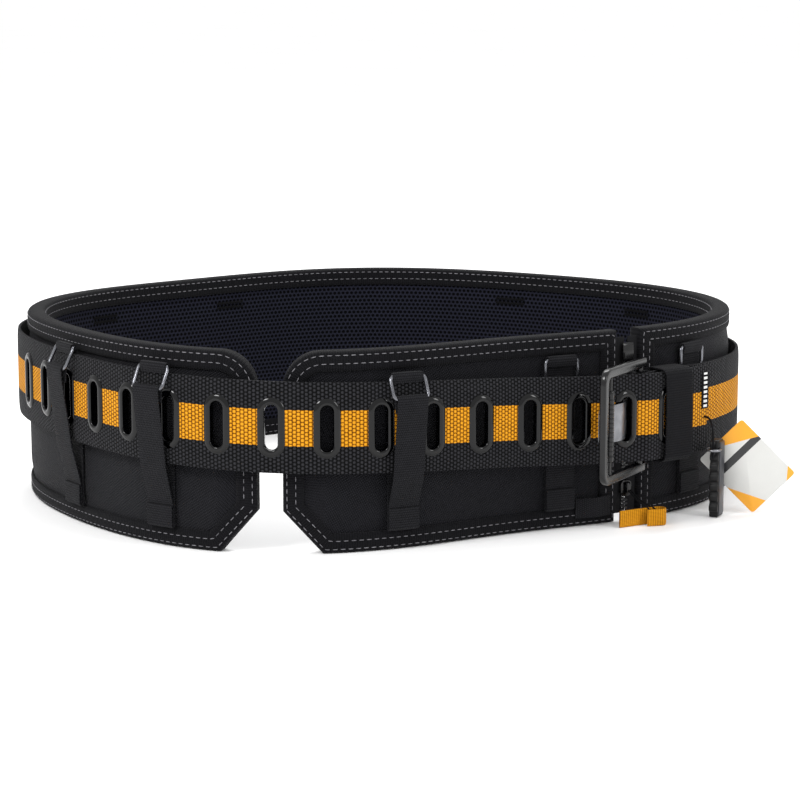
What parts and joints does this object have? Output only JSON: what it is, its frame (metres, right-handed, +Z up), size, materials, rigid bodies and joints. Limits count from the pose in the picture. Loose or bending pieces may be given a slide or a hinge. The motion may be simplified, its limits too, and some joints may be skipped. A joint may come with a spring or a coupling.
{
  "type": "padded tool belt",
  "caption": "Padded work belt: a curved support pad inside a striped webbing belt with slotted grommets, a frame buckle, hanging rings and a separating zipper.",
  "frame": {"origin": "middle of the box on the surface that the pad stands on, without the zipper pull and the cords", "axes": "+Z up from the lower edge of the pad to its upper edge, +X across the belt towards the clip and card, -Y towards the front opening"},
  "size_m": [0.5277, 0.4678, 0.127],
  "materials": {
    "nylon_shell": "ballistic nylon, matt",
    "foam": "closed-cell foam",
    "air_mesh": "knitted spacer mesh",
    "binding_tape": "ribbed tape with two rows of stitches",
    "striped_webbing": "coarse woven webbing, black with an amber stripe",
    "black_webbing": "flat woven webbing",
    "grommet_black": "glossy black",
    "buckle_steel": "satin black",
    "gunmetal": "satin gunmetal",
    "amber_tape": "ribbed amber tape",
    "zip_tape": "woven zipper tape with moulded teeth",
    "zip_metal": "black enamel",
    "card_stock": "printed card, plain shapes only",
    "label_cloth": "woven label with plain bars",
    "clip_plastic": "moulded nylon, satin face",
    "cord_black": "round braided cord"
  },
  "bodies": {
    "root": {"front_shell": "nylon_shell", "front_foam": "foam", "front_mesh": "air_mesh", "front_binding": "binding_tape", "wrap_shell": "nylon_shell", "wrap_foam": "foam", "wrap_mesh": "air_mesh", "wrap_binding": "binding_tape", "zip_tape_front": "zip_tape", "zip_tape_wrap": "zip_tape", "zip_stop": "zip_metal", "web_belt": "striped_webbing", "grommet_01": "grommet_black", "grommet_02": "grommet_black", "grommet_03": "grommet_black", "grommet_04": "grommet_black", "grommet_05": "grommet_black", "grommet_06": "grommet_black", "grommet_07": "grommet_black", "grommet_08": "grommet_black", "grommet_09": "grommet_black", "grommet_10": "grommet_black", "grommet_11": "grommet_black", "grommet_12": "grommet_black", "grommet_13": "grommet_black", "grommet_14": "grommet_black", "grommet_15": "grommet_black", "grommet_16": "grommet_black", "buckle_fold": "striped_webbing", "tail_label": "label_cloth", "loop_strap_1": "black_webbing", "loop_strap_2": "black_webbing", "loop_strap_3": "black_webbing", "loop_strap_4": "black_webbing", "loop_strap_5": "black_webbing", "loop_strap_6": "black_webbing", "loop_strap_7": "black_webbing", "loop_strap_8": "black_webbing", "loop_strap_9": "black_webbing", "grab_loop": "black_webbing", "clip_cord": "cord_black"},
    "buckle": {"buckle_frame": "buckle_steel"},
    "roller": {"buckle_roller": "buckle_steel"},
    "tongue": {"buckle_tongue": "gunmetal"},
    "ring_1": {"loop_ring_1": "buckle_steel"},
    "ring_2": {"loop_ring_2": "buckle_steel"},
    "ring_3": {"loop_ring_3": "buckle_steel"},
    "ring_4": {"loop_ring_4": "buckle_steel"},
    "ring_5": {"loop_ring_5": "buckle_steel"},
    "ring_6": {"loop_ring_6": "buckle_steel"},
    "ring_7": {"loop_ring_7": "buckle_steel"},
    "ring_8": {"loop_ring_8": "buckle_steel"},
    "ring_9": {"loop_ring_9": "buckle_steel"},
    "keeper": {"keeper": "black_webbing"},
    "zip_slider": {"zip_slider": "zip_metal", "zip_cord": "cord_black", "zip_pull": "amber_tape"},
    "clip": {"clip_plate": "clip_plastic", "clip_link": "gunmetal"},
    "card": {"card": "card_stock"}
  },
  "joints": [
    {"name": "buckle_swing", "type": "hinge", "parent": "root", "child": "buckle", "pos_m": [0.15696, -0.13975, 0.07259], "axis": [0, 0, 1], "range_deg": [0, 60]},
    {"name": "roller_spin", "type": "hinge", "parent": "buckle", "child": "roller", "pos_m": [0.13466, -0.17998, 0.07259], "axis": [0, 0, 1], "continuous": true},
    {"name": "tongue_swing", "type": "hinge", "parent": "root", "child": "tongue", "pos_m": [0.15696, -0.13975, 0.07259], "axis": [0, 0, 1], "range_deg": [-0.5, 0.3]},
    {"name": "ring_1_swing", "type": "hinge", "parent": "root", "child": "ring_1", "pos_m": [-0.21468, -0.13531, 0.11775], "axis": [-0.5611, 0.8277, 0], "range_deg": [0, 25]},
    {"name": "ring_2_swing", "type": "hinge", "parent": "root", "child": "ring_2", "pos_m": [-0.1507, -0.20449, 0.11592], "axis": [-0.8156, 0.5786, 0], "range_deg": [0, 25]},
    {"name": "ring_3_swing", "type": "hinge", "parent": "root", "child": "ring_3", "pos_m": [0.00616, -0.21614, 0.11123], "axis": [-0.9049, -0.4257, 0], "range_deg": [0, 25]},
    {"name": "ring_4_swing", "type": "hinge", "parent": "root", "child": "ring_4", "pos_m": [0.10524, -0.15469, 0.112], "axis": [-0.8972, -0.4416, 0], "range_deg": [0, 18]},
    {"name": "ring_5_swing", "type": "hinge", "parent": "root", "child": "ring_5", "pos_m": [0.19529, -0.09369, 0.112], "axis": [-0.6663, -0.7457, 0], "range_deg": [0, 0.8]},
    {"name": "ring_6_swing", "type": "hinge", "parent": "root", "child": "ring_6", "pos_m": [0.19243, 0.12559, 0.10297], "axis": [0.6569, -0.7539, 0], "range_deg": [0, 25]},
    {"name": "ring_7_swing", "type": "hinge", "parent": "root", "child": "ring_7", "pos_m": [0.09622, 0.2005, 0.10538], "axis": [0.8705, -0.4921, 0], "range_deg": [0, 25]},
    {"name": "ring_8_swing", "type": "hinge", "parent": "root", "child": "ring_8", "pos_m": [-0.14091, 0.17607, 0.1139], "axis": [0.7639, 0.6453, 0], "range_deg": [0, 25]},
    {"name": "ring_9_swing", "type": "hinge", "parent": "root", "child": "ring_9", "pos_m": [-0.22946, 0.09279, 0.11727], "axis": [0.6126, 0.7904, 0], "range_deg": [0, 25]},
    {"name": "keeper_slide", "type": "slide", "parent": "root", "child": "keeper", "axis": [0.7904, 0.6125, 0], "range_m": [-0.003, 0]},
    {"name": "zip_slide", "type": "slide", "parent": "root", "child": "zip_slider", "axis": [0, 0, 1], "range_m": [0, 0.018]},
    {"name": "clip_swing", "type": "hinge", "parent": "root", "child": "clip", "pos_m": [0.20841, -0.11939, 0.046], "axis": [0.3907, 0.9205, 0], "range_deg": [-25, 0]},
    {"name": "card_swing", "type": "hinge", "parent": "clip", "child": "card", "pos_m": [0.21522, -0.104, 0.03], "axis": [0, 0, 1], "range_deg": [-15, 7]}
  ]
}
